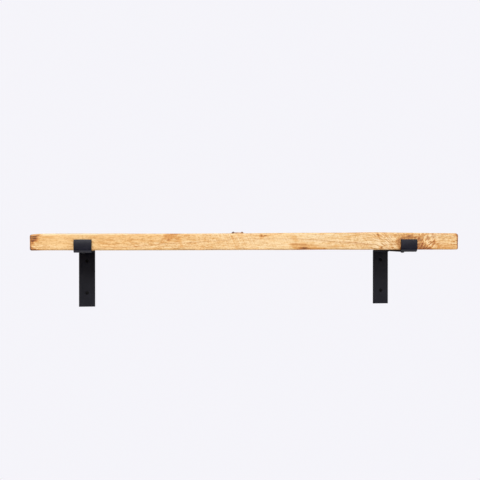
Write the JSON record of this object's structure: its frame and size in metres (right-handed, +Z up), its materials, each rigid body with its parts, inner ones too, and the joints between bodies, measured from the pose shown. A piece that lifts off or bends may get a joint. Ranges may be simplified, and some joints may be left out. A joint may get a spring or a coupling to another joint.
{
  "type": "bracket wall shelf",
  "caption": "Wall shelf: a worn honey-coloured pine board on black brackets bent from flat bar, each with a wall leg, an arm under the board and a short lip in front of it.",
  "frame": {"origin": "centre of the four wall screws, on the wall plane that the backs of the two legs rest on", "axes": "+X along the board to the right as seen from the room, +Y into the wall, +Z up"},
  "size_m": [1, 0.276, 0.183],
  "materials": {
    "pine": "worn softwood with a clear honey wax, satin",
    "black_powder_coat": "matt black powder coat, finely textured",
    "black_screw": "black zinc, satin"
  },
  "bodies": {
    "root": {"shelf_board": "pine", "left_bracket": "black_powder_coat", "right_bracket": "black_powder_coat", "wall_screw_left_upper": "black_screw", "wall_screw_left_lower": "black_screw", "board_screw_left_front": "black_screw", "board_screw_left_rear": "black_screw", "wall_screw_right_upper": "black_screw", "wall_screw_right_lower": "black_screw", "board_screw_right_front": "black_screw", "board_screw_right_rear": "black_screw"}
  },
  "joints": []
}
